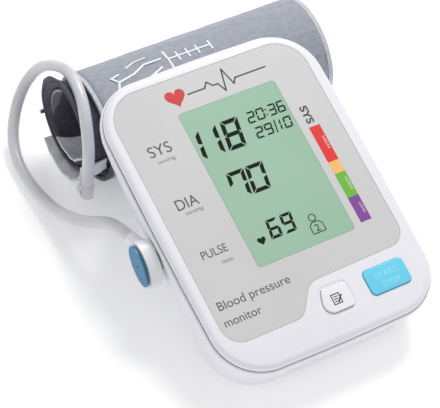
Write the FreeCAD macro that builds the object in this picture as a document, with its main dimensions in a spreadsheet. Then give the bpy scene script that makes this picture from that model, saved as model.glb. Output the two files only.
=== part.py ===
import FreeCAD, Part
import math
import os

# Upper arm blood pressure monitor, propped up on its own rolled cuff.
# Lengths are in millimetres. Two frames are used:
#   monitor frame: origin in the middle of the seam plane, +Z out of the display, -Y towards the user
#   row frame:     origin on the table under the middle of the whole object's box, +Z up
# TILT turns the first into the second, because the monitor's back edge lies on the cuff.

doc = FreeCAD.newDocument("arm_blood_pressure_monitor")
sheet = doc.addObject("Spreadsheet::Sheet", "Sizes")

SIZES = {
    "body_width": 130.0, "body_length": 171.6, "corner_radius": 27.0, "side_bow": 1.2,
    "wall": 2.2, "top_rise": 3.7, "top_fillet": 3.2, "base_drop": 29.0, "lip_drop": 7.0,
    "base_fillet": 6.0, "tilt_angle": 18.6,
    "panel_thick": 0.5, "window_width": 58.5, "window_length": 93.0,
    "window_x": 5.5, "window_y": 12.7, "lens_thick": 1.5, "glass_thick": 2.4,
    "start_width": 24.0, "start_length": 14.3, "start_x": 37.1, "start_y": -63.7,
    "memory_x": 6.2, "memory_y": -64.0, "button_proud": 0.9, "button_gap": 0.3,
    "board_thick": 1.6, "board_level": -7.0, "cell_radius": 7.1, "cell_length": 50.5, "cell_pitch": 14.7,
    "cover_width": 62.0, "cover_length": 64.0, "cover_thick": 2.0, "cover_gap": 0.4,
    "motor_radius": 12.0, "motor_length": 31.0, "pump_length": 24.0, "shaft_radius": 1.0,
    "valve_width": 12.0, "valve_length": 19.0, "foot_radius": 5.0, "foot_thick": 1.2,
    "plug_long": 25.6, "plug_tall": 18.0, "plug_thick": 8.0, "spigot_radius": 3.6, "spigot_length": 10.0,
    "tube_radius": 3.3, "tube_bore": 1.6,
    "cuff_radius": 31.0, "cuff_wrap": 2.6, "cuff_width": 139.5, "cuff_left": -50.5, "inner_shift": 8.5,
    "lining_thick": 1.0, "bladder_thick": 1.2, "bar_radius": 1.3, "bar_length": 130.0,
}
for row, (alias, value) in enumerate(SIZES.items(), start=1):
    sheet.set("A%d" % row, alias)
    sheet.set("B%d" % row, str(value))
    sheet.setAlias("B%d" % row, alias)
doc.recompute()


def size(alias):
    """A driving dimension, read back from the sheet."""
    return float(sheet.get(alias))


def vec(x, y, z):
    return FreeCAD.Vector(x, y, z)


# ---------------------------------------------------------------- frames
X_AXIS = vec(1, 0, 0)
Y_AXIS = vec(0, 1, 0)
Z_AXIS = vec(0, 0, 1)
TILT = FreeCAD.Rotation(X_AXIS, size("tilt_angle"))
tilt = math.radians(size("tilt_angle"))
# centre of the round of the front bottom edge, which is what stands on the table
front_round_y = 0.5 * size("body_length") - 1.5 - size("base_fillet")
front_round_z = size("base_drop") - size("base_fillet")
seam_height = front_round_y * math.sin(tilt) + front_round_z * math.cos(tilt) + size("base_fillet")
# the box of everything but the tube and its plug is centred on the origin
BOX_SHIFT = vec(-10.0, -26.8, 0)
MONITOR = FreeCAD.Placement(BOX_SHIFT + vec(0, 0, seam_height), TILT)
# the rolled cuff lies on the table with its axis along X
CUFF_Y = 104.7
CUFF_AXIS = BOX_SHIFT + vec(0, CUFF_Y, size("cuff_radius"))
CUFF = FreeCAD.Placement(CUFF_AXIS, FreeCAD.Rotation())

FINISHED = []


def keep(obj, node, frame=MONITOR, local=None):
    """Names a finished sub-part, and puts it in its place in the row frame."""
    obj.Label = node
    if local is not None:
        frame = frame.multiply(local)
    obj.Placement = frame.multiply(obj.Placement)
    FINISHED.append(obj)
    return obj


def feature(node, shape, frame=MONITOR):
    """A sub-part whose shape is made by Part's own functions."""
    obj = doc.addObject("Part::Feature", "shape_" + node)
    obj.Shape = shape
    return keep(obj, node, frame)


def box(name, length, width, height, x, y, z):
    """A box centred on x and y, with its bottom at z. The sizes are expressions."""
    obj = doc.addObject("Part::Box", name)
    obj.setExpression("Length", length)
    obj.setExpression("Width", width)
    obj.setExpression("Height", height)
    doc.recompute()
    obj.Placement.Base = vec(x - obj.Length.Value / 2, y - obj.Width.Value / 2, z)
    return obj


def cylinder(name, radius, height, base, axis=Z_AXIS):
    obj = doc.addObject("Part::Cylinder", name)
    obj.setExpression("Radius", radius)
    obj.setExpression("Height", height)
    obj.Placement = FreeCAD.Placement(base, FreeCAD.Rotation(Z_AXIS, axis))
    return obj


def cut(name, base, tool):
    obj = doc.addObject("Part::Cut", name)
    obj.Base = base
    obj.Tool = tool
    return obj


def fuse(name, *shapes):
    obj = doc.addObject("Part::MultiFuse", name)
    obj.Shapes = list(shapes)
    return obj


def group(name, *shapes):
    obj = doc.addObject("Part::Compound", name)
    obj.Links = list(shapes)
    return obj


# ---------------------------------------------------------------- outlines
def rounded(points, radii, z=0.0):
    """A closed wire through the corners, each rounded by a tangent arc of its radius."""
    count = len(points)
    spots = [vec(x, y, z) for x, y in points]
    ends = []
    for i in range(count):
        here = spots[i]
        back = (spots[i - 1] - here).normalize()
        ahead = (spots[(i + 1) % count] - here).normalize()
        turn = math.pi - back.getAngle(ahead)
        reach = radii[i] * math.tan(turn / 2)
        middle = (back + ahead).normalize()
        centre = here + middle * (radii[i] / math.cos(turn / 2))
        ends.append((here + back * reach, centre - middle * radii[i], here + ahead * reach))
    edges = []
    for i in range(count):
        start, mid, end = ends[i]
        edges.append(Part.Arc(start, mid, end).toShape())
        edges.append(Part.LineSegment(end, ends[(i + 1) % count][0]).toShape())
    return Part.Wire(edges)


def bow_arc(half_side, bow, corner):
    """The radius that spreads a side's bow over most of the length between its corners, and the
    distance by which the sharp tip stands outside that arc."""
    slope = bow / half_side
    radius = 0.65 * (half_side - corner) / slope
    return radius, radius * (math.hypot(1, slope) - 1)


def housing_outline(z, front, back, front_corner, back_corner, radius, spread=0.0):
    """The housing's plan: a bowed rectangle, each side set in by its own amount."""
    half_w = size("body_width") / 2 + spread
    half_l = size("body_length") / 2 + spread
    bow = size("side_bow")
    fx = half_w - bow - front_corner
    bx = half_w - bow - back_corner
    mx = half_w - (front_corner + back_corner) / 2
    fy = half_l - bow - front
    by = half_l - bow - back
    front_arc, front_tip = bow_arc(fx, bow, radius)
    back_arc, back_tip = bow_arc(bx, bow, radius)
    side_arc, side_tip = bow_arc(by, bow, radius)
    points = [(-fx, -fy), (0, -(half_l - front + front_tip)), (fx, -fy), (mx + side_tip, 0),
              (bx, by), (0, half_l - back + back_tip), (-bx, by), (-mx - side_tip, 0)]
    return rounded(points, [radius, front_arc, radius, side_arc, radius, back_arc, radius, side_arc], z)


def prism(wire, height):
    return Part.Face(wire).extrude(vec(0, 0, height))




# ---------------------------------------------------------------- housings
RISE = size("top_rise")
DROP = size("base_drop")
LIP = size("lip_drop")
WALL = size("wall")
RADIUS = size("corner_radius")
# how far the sloping walls come in at the underside: front, back, front corners, back corners
INSET_FRONT, INSET_BACK, INSET_FRONT_CORNER, INSET_BACK_CORNER = 1.5, 8.0, 1.5, 8.0
SEAM_GAP = 0.3
# the lower half ends in a rounded rim that stands a little proud of the seam: height, how far
RIM_PROFILE = [(0.0, 0.35), (-0.25, 0.75), (-0.7, 1.05), (-1.4, 1.2), (-2.4, 1.1), (-3.6, 0.8), (-5.0, 0.4)]
ROUND_STEPS = 9
RECESS = 0.5


def base_section(z, inward, curl=0.0):
    """The lower shell's plan at height z; the walls slope in below the lip."""
    share = max(0.0, (-LIP - z) / (DROP - LIP))
    return housing_outline(z, INSET_FRONT * share, INSET_BACK * share, INSET_FRONT_CORNER * share,
                           INSET_BACK_CORNER * share, RADIUS - inward - curl, -inward - curl)


def rounded_end(inward, floor, fillet, way):
    """The plans that follow a rounded edge from the wall to the flat end face."""
    sections = []
    for step in range(ROUND_STEPS + 1):
        turn = math.radians(90 * step / ROUND_STEPS)
        z = floor - way * fillet * (1 - math.sin(turn))
        sections.append(base_section(z, inward, fillet * (1 - math.cos(turn))))
    return sections


def base_solid(inward):
    """The lower shell's outside (inward 0) or inside (inward = wall) as a solid, with a rounded bottom edge."""
    rounds = rounded_end(inward, -DROP + inward, size("base_fillet") - inward, -1)
    knee = base_section(-LIP, inward)
    below = Part.makeLoft([knee] + rounds, True, True)
    if inward:
        return prism(knee, LIP).fuse(below)
    rim = [housing_outline(z, 0, 0, 0, 0, RADIUS + proud, proud) for z, proud in RIM_PROFILE]
    return Part.makeLoft(rim + [knee], True, True).fuse(below)


def top_solid(inward):
    """The upper shell's outside (inward 0) or inside as a solid, with a rounded top edge."""
    rounds = rounded_end(inward, RISE - inward, size("top_fillet") - inward, 1)
    return Part.makeLoft([base_section(0.0, inward)] + rounds, True, True)


PANEL_POINTS = [(-57.9, -66.6), (-14.6, -66.6), (-3.2, -50.8), (57.4, -49.6), (57.4, 79.4), (-57.9, 79.4)]
PANEL_RADII = [11.0, 9.0, 9.0, 10.0, 18.0, 18.0]


def panel_outline(z, grow=0.0):
    """The printed panel's plan: a rounded rectangle with a step that leaves room for the keys."""
    wire = rounded(PANEL_POINTS, PANEL_RADII, z)
    return wire.makeOffset2D(grow) if grow else wire


def window_outline(z, grow=0.0):
    half_w = size("window_width") / 2 + grow
    half_l = size("window_length") / 2 + grow
    cx, cy = size("window_x"), size("window_y")
    corners = [(cx - half_w, cy - half_l), (cx + half_w, cy - half_l), (cx + half_w, cy + half_l), (cx - half_w, cy + half_l)]
    return rounded(corners, [2.0 + grow] * 4, z)


def start_outline(z, grow=0.0):
    half_w = size("start_width") / 2 + grow
    half_l = size("start_length") / 2 + grow
    cx, cy = size("start_x"), size("start_y")
    corners = [(cx - half_w, cy - half_l), (cx + half_w, cy - half_l), (cx + half_w, cy + half_l), (cx - half_w, cy + half_l)]
    return rounded(corners, [2.8 + grow] * 4, z)


def memory_outline(z, grow=0.0):
    """The memory key: its left side slants like the panel's step, and its front left corner is rounder."""
    cx, cy = size("memory_x"), size("memory_y")
    corners = [(cx - 10.6, cy - 6.9), (cx + 7.6, cy - 6.9), (cx + 7.6, cy + 6.7), (cx - 6.2, cy + 6.7)]
    wire = rounded(corners, [5.5, 1.8, 1.8, 1.8], z)
    return wire.makeOffset2D(grow) if grow else wire


BAR_Y, BAR_Z = 26.3, -5.5
SCREWS = [(-52.0, -46.0), (52.0, -46.0), (-34.0, 68.0), (34.0, 68.0)]
POSTS = [(-22.0, -50.0), (42.0, -50.0), (-22.0, 45.0), (42.0, 45.0)]
SPLIT = -9.0
BOSS = 3.6
SCREW_HOLE = 1.5
UNDER_TOP = RISE - WALL
FLOOR = -DROP + WALL


def drum(radius, x, y, z0, z1):
    return Part.makeCylinder(radius, z1 - z0, vec(x, y, z0))


# the upper shell: top face, panel recess, window, key holes, a shallow dish round the memory key, screw bosses
top_shell = top_solid(0).cut(top_solid(WALL))
top_shell = top_shell.fuse([drum(BOSS, x, y, SPLIT, UNDER_TOP + 0.2) for x, y in SCREWS])
holes = [
    prism(panel_outline(RISE - RECESS - 0.1, 0.15), 2),
    prism(window_outline(0, 1.0), 10),
    prism(start_outline(0, size("button_gap")), 10),
    prism(memory_outline(0, size("button_gap")), 10),
    prism(memory_outline(RISE - 0.3, 1.6), 2),
]
holes += [drum(SCREW_HOLE - 0.3, x, y, SPLIT - 1, UNDER_TOP - 0.2) for x, y in SCREWS]
top_shell = top_shell.cut(holes)
# the shell starts a hair above the seam plane, which leaves the fine dark line between the halves
rim_ring = prism(housing_outline(0.0, 0, 0, 0, 0, RADIUS, 1.0), SEAM_GAP)
rim_ring = rim_ring.cut(prism(housing_outline(-1.0, 0, 0, 0, 0, RADIUS - WALL, -WALL - 0.1), 3.0))
feature("top_housing", top_shell.cut(rim_ring).removeSplitter())

# battery compartment
CELLS_X, CELLS_Y = 6.0, 0.0
ROOM_W = size("cell_length") + 8.0
ROOM_L = 4 * size("cell_pitch") + 1.0
ROOM_TOP = -11.4
COVER_W, COVER_L = size("cover_width"), size("cover_length")

outer_base = base_solid(0)
inner_base = base_solid(WALL)
# a tongue stands up inside the seam and keys the halves together
tongue = prism(housing_outline(-3.0, 0, 0, 0, 0, RADIUS - WALL - 0.2, -WALL - 0.2), 4.0)
tongue = tongue.cut(prism(housing_outline(-4.0, 0, 0, 0, 0, RADIUS - WALL - 1.2, -WALL - 1.2), 6.0))
tongue_root = prism(housing_outline(-3.0, 0, 0, 0, 0, RADIUS - WALL + 0.5, -WALL + 0.5), 2.0)
tongue_root = tongue_root.cut(prism(housing_outline(-4.0, 0, 0, 0, 0, RADIUS - WALL - 1.2, -WALL - 1.2), 6.0))
base_shell = outer_base.cut(inner_base)
room_wall = Part.makeBox(ROOM_W + 3, ROOM_L + 3, ROOM_TOP + 1.5 - FLOOR + 0.5,
                         vec(CELLS_X - ROOM_W / 2 - 1.5, CELLS_Y - ROOM_L / 2 - 1.5, FLOOR - 0.5))
room = Part.makeBox(ROOM_W, ROOM_L, ROOM_TOP + DROP + 5, vec(CELLS_X - ROOM_W / 2, CELLS_Y - ROOM_L / 2, -DROP - 5))
cover_seat = Part.makeBox(COVER_W + 2 * size("cover_gap"), COVER_L + 2 * size("cover_gap"), size("cover_thick") + 5.1,
                          vec(CELLS_X - COVER_W / 2 - size("cover_gap"), CELLS_Y - COVER_L / 2 - size("cover_gap"), -DROP - 5))
ledge = Part.makeBox(COVER_W + 4, COVER_L + 4, 3.0, vec(CELLS_X - COVER_W / 2 - 2, CELLS_Y - COVER_L / 2 - 2, -DROP + 1.0))
bosses = [drum(BOSS, x, y, FLOOR - 0.5, SPLIT - 0.3) for x, y in SCREWS]
bosses += [drum(3.0, x, y, FLOOR - 0.5, size("board_level") - 0.05) for x, y in POSTS]
SOCKET_Y, SOCKET_Z = -4.4, -13.6
HINGE = vec(CELLS_X, CELLS_Y - COVER_L / 2 + 1.0, -DROP + 1.0)
pin_hole = Part.makeCylinder(0.78, COVER_W + 5.0, HINGE - X_AXIS * (COVER_W / 2 + 2.5), X_AXIS)
cuts = [drum(SCREW_HOLE + 0.2, x, y, -DROP - 1, 1) for x, y in SCREWS]
cuts += [drum(3.3, x, y, -DROP - 1, -DROP + 3) for x, y in SCREWS]
cuts += [drum(1.0, x, y, -DROP + 8, 0) for x, y in POSTS]
cuts += [room, cover_seat, pin_hole]
cuts += [Part.makeCylinder(6.0, 20, vec(-75, SOCKET_Y, SOCKET_Z), X_AXIS)]
base_shell = base_shell.fuse([tongue, tongue_root, room_wall, ledge] + bosses).cut(cuts)
feature("bottom_housing", base_shell.removeSplitter())


# ---------------------------------------------------------------- face
film = prism(panel_outline(RISE - 0.6), size("panel_thick")).cut(prism(window_outline(0), 10))
feature("front_panel", film)
lens = prism(window_outline(RISE - 1.6, -0.05), size("lens_thick")).fuse(prism(window_outline(RISE - 1.6, 0.8), 0.9))
feature("display_window", lens.removeSplitter())


def push_key(node, outline, x, y):
    """A key cap with a flange that keeps it under the top shell and a stem over its switch."""
    cap = prism(outline(0.4), RISE + size("button_proud") - 0.4)
    flange = prism(outline(0.4, 1.0), 0.8)
    stem = drum(1.6, x, y, -0.3, 1.0)
    top_edges = [e for e in cap.Edges if all(v.Z > RISE for v in e.Vertexes)]
    cap = cap.makeFillet(0.5, top_edges)
    return feature(node, cap.fuse([flange, stem]).removeSplitter())


START = (size("start_x"), size("start_y"))
MEMORY = (size("memory_x"), size("memory_y"))
push_key("start_stop_button", start_outline, *START)
push_key("memory_button", memory_outline, *MEMORY)

# ---------------------------------------------------------------- display and board
WX, WY = size("window_x"), size("window_y")
BOARD_TOP = size("board_level") + size("board_thick")
glass = box("glass", "Sizes.window_width + 3.5", "Sizes.window_length + 4", "Sizes.glass_thick", WX, WY, -1.2)
keep(glass, "lcd_glass")
frame_outer = box("frame_outer", "Sizes.window_width + 7.5", "Sizes.window_length + 8", "6.5", WX, WY, BOARD_TOP + 0.05)
frame_inner = box("frame_inner", "Sizes.window_width + 3.7", "Sizes.window_length + 4.2", "8", WX, WY, BOARD_TOP - 0.5)
keep(cut("holder", frame_outer, frame_inner), "lcd_holder")
strips = [box("strip_%d" % i, "50", "2.2", "4.1", WX, WY + side * 46.0, BOARD_TOP + 0.05) for i, side in enumerate((-1, 1))]
keep(group("strips", *strips), "zebra_strips")

plate = box("board_plate", "78.5", "135.5", "Sizes.board_thick", 6.25, -4.25, size("board_level"))
drills = [cylinder("board_hole_%d" % i, "1.4", "4", vec(x, y, size("board_level") - 1)) for i, (x, y) in enumerate(POSTS)]
keep(cut("board", plate, fuse("board_holes", *drills)), "main_board")
CHIPS = [(5, 10, 12, 12, 1.4), (-10, -15, 8, 6, 1.3), (22, 32, 6, 9, 1.2), (-8, 40, 5, 5, 1.0), (-14, -52, 6, 5, 1.2)]
chips = [box("chip_%d" % i, str(w), str(d), str(h), x, y, BOARD_TOP + 0.05) for i, (x, y, w, d, h) in enumerate(CHIPS)]
keep(group("chips", *chips), "board_chips")
cans = [cylinder("can_%d" % i, "3.2", "9", vec(x, 46, size("board_level") - 9.05)) for i, x in enumerate((0, 10))]
keep(group("cans", *cans), "board_capacitors")
keep(cylinder("sounder", "6", "5", vec(28, 50, size("board_level") - 5.05)), "buzzer")


def tact_switch(name, x, y):
    """A small push switch on the board: square body and round plunger in one."""
    body = box(name + "_body", "6", "6", "2.8", x, y, BOARD_TOP + 0.05)
    plunger = cylinder(name + "_plunger", "1.7", "2", vec(x, y, BOARD_TOP + 1.8))
    return fuse(name, body, plunger)


keep(group("switches", tact_switch("start_switch", *START), tact_switch("memory_switch", *MEMORY)), "key_switches")

# ---------------------------------------------------------------- air system
PUMP_X, PUMP_Z = -44.5, -14.0
HEAD_Y, MOTOR_Y = 10.0, 34.6


def along_y(name, radius, length, x, y, z):
    return cylinder(name, radius, length, vec(x, y, z), Y_AXIS)


motor = along_y("motor_can", "Sizes.motor_radius", "27", PUMP_X, MOTOR_Y, PUMP_Z)
motor_bore = along_y("motor_bore", "Sizes.shaft_radius + 0.06", "40", PUMP_X, MOTOR_Y - 5, PUMP_Z)
keep(cut("motor", motor, motor_bore), "pump_motor")
head = along_y("head_can", "Sizes.motor_radius", "Sizes.pump_length", PUMP_X, HEAD_Y, PUMP_Z)
head_outlet = along_y("head_outlet", "1.5", "4", -40.0, HEAD_Y - 3.0, -13.6)
head_room = along_y("head_room", "7.5", "8", PUMP_X, HEAD_Y + 12, PUMP_Z)
head_bore = along_y("head_bore", "Sizes.shaft_radius + 0.06", "20", PUMP_X, HEAD_Y + 15, PUMP_Z)
keep(cut("pump", fuse("pump_outside", head, head_outlet), fuse("pump_inside", head_room, head_bore)), "pump_head")
shaft = along_y("shaft", "Sizes.shaft_radius", "36", PUMP_X, HEAD_Y + 13, PUMP_Z)
crank = along_y("crank", "5", "5", PUMP_X + 1.0, HEAD_Y + 13.5, PUMP_Z)
keep(fuse("shaft_and_crank", shaft, crank), "pump_shaft")
saddles = [box("saddle_%d" % i, "14", "6", "9", PUMP_X, y, FLOOR + 0.05) for i, y in enumerate((14.5, 50.0))]
saddle_cut = along_y("saddle_cut", "Sizes.motor_radius + 0.05", "60", PUMP_X, 5, PUMP_Z)
keep(group("saddles", *[cut("saddle_shape_%d" % i, s, saddle_cut) for i, s in enumerate(saddles)]), "pump_cradle")

AIR_X, AIR_Y, AIR_Z = -40.0, -4.4, -13.6
valve_box = box("valve_box", "Sizes.valve_width", "Sizes.valve_length", "12", AIR_X, -52.5, AIR_Z - 6)
valve_nose = along_y("valve_nose", "1.5", "4", AIR_X, -44.0, AIR_Z)
valve_bore = along_y("valve_bore", "2.08", "12", AIR_X, -63.0, AIR_Z)
keep(cut("valve", fuse("valve_outside", valve_box, valve_nose), valve_bore), "release_valve")
keep(along_y("plunger", "2.0", "12", AIR_X, -64.5, AIR_Z), "valve_plunger")
sensor_box = box("sensor_box", "8", "8", "5", -29.0, -39.0, size("board_level") - 5.05)
sensor_nose = along_y("sensor_nose", "1.2", "5", -29.0, -37.0, -10.4)
keep(fuse("sensor", sensor_box, sensor_nose), "pressure_sensor")
block = box("manifold_block", "10", "12", "10", AIR_X, AIR_Y, AIR_Z - 5)
ports = [along_y("port_front", "1.5", "4", AIR_X, AIR_Y - 9, AIR_Z), along_y("port_back", "1.5", "4", AIR_X, AIR_Y + 5, AIR_Z)]
ports.append(cylinder("port_left", "2", "4", vec(AIR_X - 8.5, AIR_Y, AIR_Z), X_AXIS))
ports.append(cylinder("port_right", "1.2", "4", vec(AIR_X + 4, AIR_Y, -10.4), X_AXIS))
keep(fuse("manifold", block, *ports), "air_manifold")


def hose(start, end, outer, inner):
    """A straight piece of hose between two nozzles."""
    way = end - start
    return Part.makeCylinder(outer, way.Length, start, way).cut(Part.makeCylinder(inner, way.Length, start, way))


def arc_route(points, closed=False):
    """A wire of straight runs joined by tangent arcs, with the smallest arc radius it used."""
    edges = []
    radii = []
    at = points[0]
    for i in range(1, len(points) - 1):
        back = points[i - 1] - points[i]
        ahead = points[i + 1] - points[i]
        half_turn = (math.pi - back.getAngle(ahead)) / 2
        reach = 0.45 * min(back.Length, ahead.Length)
        radius = reach / math.tan(half_turn)
        radii.append(radius)
        u = back.normalize()
        w = ahead.normalize()
        start = points[i] + u * reach
        end = points[i] + w * reach
        middle = (u + w).normalize()
        mid = points[i] + middle * (radius / math.cos(half_turn) - radius)
        edges.append(Part.LineSegment(at, start).toShape())
        edges.append(Part.Arc(start, mid, end).toShape())
        at = end
    edges.append(Part.LineSegment(at, points[-1]).toShape())
    return Part.Wire(edges), radii


def swept(wire, radius):
    start = wire.Edges[0].valueAt(wire.Edges[0].FirstParameter)
    way = wire.Edges[0].tangentAt(wire.Edges[0].FirstParameter)
    ring = Part.Wire([Part.makeCircle(radius, start, way)])
    return wire.makePipeShell([ring], True, True, 1)


hoses = [
    hose(vec(-49.8, AIR_Y, AIR_Z), vec(-45.1, AIR_Y, AIR_Z), 3.0, 2.05),
    hose(vec(AIR_X, 2.0, AIR_Z), vec(AIR_X, 9.6, AIR_Z), 2.6, 1.55),
    hose(vec(AIR_X, -42.8, AIR_Z), vec(AIR_X, -10.8, AIR_Z), 2.6, 1.55),
]
sense_route = arc_route([vec(-34.6, AIR_Y, -10.4), vec(-29.0, AIR_Y, -10.4), vec(-29.0, -12.0, -10.4), vec(-29.0, -34.6, -10.4)][:2]
                        + [vec(-29.0, -34.6, -10.4)])[0]
hoses.append(swept(sense_route, 2.0).cut(swept(sense_route, 1.25)))
feature("inner_hoses", Part.makeCompound(hoses))

# the air socket in the left wall, with a groove for its own ring
SOCKET_BORE = size("spigot_radius") + 0.08


def lathe_x(radius, x0, x1):
    return Part.makeCylinder(radius, x1 - x0, vec(x0, SOCKET_Y, SOCKET_Z), X_AXIS)


socket = lathe_x(5.9, -62.8, -52.0).fuse([lathe_x(7.2, -58.8, -57.3), lathe_x(2.0, -52.5, -48.7)])
socket = socket.cut([lathe_x(SOCKET_BORE, -64, -54.5), lathe_x(5.15, -61.4, -59.8), lathe_x(1.2, -56, -48)])
feature("air_socket", socket)
feature("socket_ring", Part.makeTorus(4.42, 0.65, vec(-60.6, SOCKET_Y, SOCKET_Z), X_AXIS))

# ---------------------------------------------------------------- power
CELL_LEVEL = -19.0
cells = []
springs = []
tabs = []
turns = [vec(2.6 * math.cos(k * math.pi / 3), 2.6 * math.sin(k * math.pi / 3), 0.15 * k) for k in range(19)]
coil_round = swept(arc_route(turns)[0], 0.28)
for i in range(4):
    way = 1 if i % 2 == 0 else -1
    y = CELLS_Y + (i - 1.5) * size("cell_pitch")
    start = vec(CELLS_X - way * size("cell_length") / 2, y, CELL_LEVEL)
    can = cylinder("cell_can_%d" % i, "Sizes.cell_radius", "Sizes.cell_length - 1.5", start, X_AXIS * way)
    tip = cylinder("cell_tip_%d" % i, "2.7", "Sizes.cell_length", start, X_AXIS * way)
    cells.append(fuse("cell_%d" % i, can, tip))
    place = FreeCAD.Placement(start - X_AXIS * way * 3.1, FreeCAD.Rotation(Z_AXIS, X_AXIS * way))
    springs.append(coil_round.transformed(place.toMatrix()))
for i, side in enumerate((-1, 1)):
    x = CELLS_X + side * (ROOM_W / 2 - 0.4)
    for j, y in enumerate((-14.7, 0.0, 14.7)):
        tabs.append(box("contact_%d_%d" % (i, j), "0.4", "11", "11", x, CELLS_Y + y, CELL_LEVEL - 5.5))
keep(group("cells", *cells), "batteries")
feature("battery_springs", Part.makeCompound(springs))
keep(group("contacts", *tabs), "battery_contacts")

# cover: a plate with a round front edge on two pins, grip ribs and a latch at its back edge
cover_y0 = HINGE.y
plate = Part.makeBox(COVER_W, COVER_L - 1.0, size("cover_thick"), vec(CELLS_X - COVER_W / 2, cover_y0, -DROP))
edge = Part.makeCylinder(1.0, COVER_W, HINGE - X_AXIS * (COVER_W / 2), X_AXIS)
pins = Part.makeCylinder(0.7, COVER_W + 3.6, HINGE - X_AXIS * (COVER_W / 2 + 1.8), X_AXIS)
ribs = [Part.makeBox(20, 1.0, 0.5, vec(CELLS_X - 10, CELLS_Y + 18 + 2.2 * i, -DROP - 0.45)) for i in range(4)]
plate = plate.fuse([edge, pins] + ribs)
feature("battery_cover", plate.removeSplitter())

FEET = [(-42, -56), (44, -56), (-40, 46), (42, 46)]
feet = [cylinder("foot_%d" % i, "Sizes.foot_radius", "Sizes.foot_thick", vec(x, y, -DROP - 1.25)) for i, (x, y) in enumerate(FEET)]
keep(group("feet", *feet), "rubber_feet")


def screw(name, x, y, head, head_z, shank, length, up):
    """A pan head screw: its head meets the part at head_z and its shank runs up or down from it."""
    low = head_z - 1.8 if up else head_z
    cap = cylinder(name + "_head", str(head), "1.8", vec(x, y, low))
    leg = cylinder(name + "_shank", str(shank), str(length + 1), vec(x, y, head_z - 1 if up else head_z - length))
    return fuse(name, cap, leg)


keep(group("case_screws", *[screw("case_%d" % i, x, y, 2.8, -DROP + 2.95, 1.15, 26, True)
                            for i, (x, y) in enumerate(SCREWS)]), "housing_screws")
keep(group("card_screws", *[screw("card_%d" % i, x, y, 2.2, BOARD_TOP + 0.05, 0.95, 9, False)
                            for i, (x, y) in enumerate(POSTS)]), "board_screws")

# ---------------------------------------------------------------- air plug
PLUG_TURN = FreeCAD.Rotation(X_AXIS, 18.65).multiply(FreeCAD.Rotation(vec(1, 1, 1), 120))


def oval(long_half, short_half, x0, x1):
    """An oval disc that faces along X, leaning back like the plug's grip."""
    ring = Part.Wire([Part.Ellipse(vec(0, 0, 0), long_half, short_half).toShape()])
    disc = Part.Face(ring).extrude(vec(0, 0, x1 - x0))
    return disc.transformed(FreeCAD.Placement(vec(x0, SOCKET_Y, SOCKET_Z), PLUG_TURN).toMatrix())


LONG, SHORT = size("plug_long") / 2, size("plug_tall") / 2
NECK_END = vec(-70.5, 12.4, -16.1)
NECK_WAY = vec(-0.15, 0.888, -0.404).normalize()
grip = oval(LONG, SHORT, -73.2, -66.4)
spigot = lathe_x(size("spigot_radius"), -67, -56.4)
neck = Part.makeCylinder(3.7, 12, NECK_END - NECK_WAY * 12, NECK_WAY)
plug = grip.fuse([spigot, neck])
groove = lathe_x(5.0, -58.6, -57.0).cut(lathe_x(2.2, -59.0, -56.5))
plug = plug.cut([groove, lathe_x(1.2, -70, -56)])
feature("air_plug", plug.removeSplitter())
feature("plug_cap", oval(LONG - 1.4, SHORT - 1.4, -74.4, -73.25))
feature("plug_ring", Part.makeTorus(2.95, 0.68, vec(-57.8, SOCKET_Y, SOCKET_Z), X_AXIS))

# ---------------------------------------------------------------- air tube
# the corners of its route over the table, in the row frame before BOX_SHIFT
neck_table = MONITOR.multVec(NECK_END) - BOX_SHIFT
neck_way = TILT.multVec(NECK_WAY)
ROUTE = [neck_table + neck_way * 0.05, neck_table + neck_way * 14] + [vec(*p) for p in (
    (-77.0, 46.0, 26.5), (-82.1, 60.6, 17.0), (-84.5, 80.0, 8.5), (-85.5, 101.2, 4.6), (-84.6, 119.4, 4.4),
    (-80.5, 134.5, 8.5), (-73.0, 146.0, 17.5), (-64.5, 151.0, 30.0), (-57.5, 147.0, 43.5), (-54.6, 134.0, 55.0),
    (-54.4, 118.0, 64.5), (-56.8, 100.0, 65.2), (-60.8, 85.2, 58.4), (-64.4, 75.0, 46.5), (-66.2, 72.6, 35.0),
    (-66.2, 72.6, 25.05))]
TUBE_R, TUBE_BORE = size("tube_radius"), size("tube_bore")
route, arc_radii = arc_route(ROUTE)
route.translate(BOX_SHIFT)
tube = swept(route, TUBE_R).cut(swept(route, TUBE_BORE))
feature("air_tube", tube, FreeCAD.Placement())
print("tube: length %.1f, smallest arc %.1f, volume %.0f of %.0f" % (
    route.Length, min(arc_radii), tube.Volume, math.pi * (TUBE_R ** 2 - TUBE_BORE ** 2) * route.Length))
print("arc radii", [round(r, 1) for r in arc_radii])
print("runs", [round((ROUTE[i + 1] - ROUTE[i]).Length, 1) for i in range(len(ROUTE) - 1)])

# ---------------------------------------------------------------- cuff
CUFF_R = size("cuff_radius")
LEFT = size("cuff_left")
RIGHT = LEFT + size("cuff_width")


def sleeve(inner, outer, x0, x1, start=0.0, sweep=360.0):
    """A part of a tube round the cuff's axis. Angles run from the top over the front, down and round."""
    def drum_x(radius):
        return Part.makeCylinder(radius, x1 - x0, vec(x0, 0, 0), X_AXIS, sweep)
    shape = drum_x(outer).cut(drum_x(inner))
    return shape.transformed(FreeCAD.Placement(vec(0, 0, 0), FreeCAD.Rotation(X_AXIS, start)).toMatrix())


EDGE = 2.0
feature("cuff_outer_cover", sleeve(CUFF_R - size("cuff_wrap"), CUFF_R, LEFT + EDGE + 0.05, RIGHT - EDGE - 0.05), CUFF)
feature("cuff_left_binding", sleeve(CUFF_R - size("cuff_wrap"), CUFF_R, LEFT, LEFT + EDGE), CUFF)
feature("cuff_right_binding", sleeve(CUFF_R - size("cuff_wrap"), CUFF_R, RIGHT - EDGE, RIGHT), CUFF)
feature("loop_patch", sleeve(27.6, 28.35, LEFT + 8, RIGHT - 8, 20, 150), CUFF)
feature("hook_patch", sleeve(26.8, 27.55, LEFT + 20, RIGHT - 20, 105, 80), CUFF)
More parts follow.
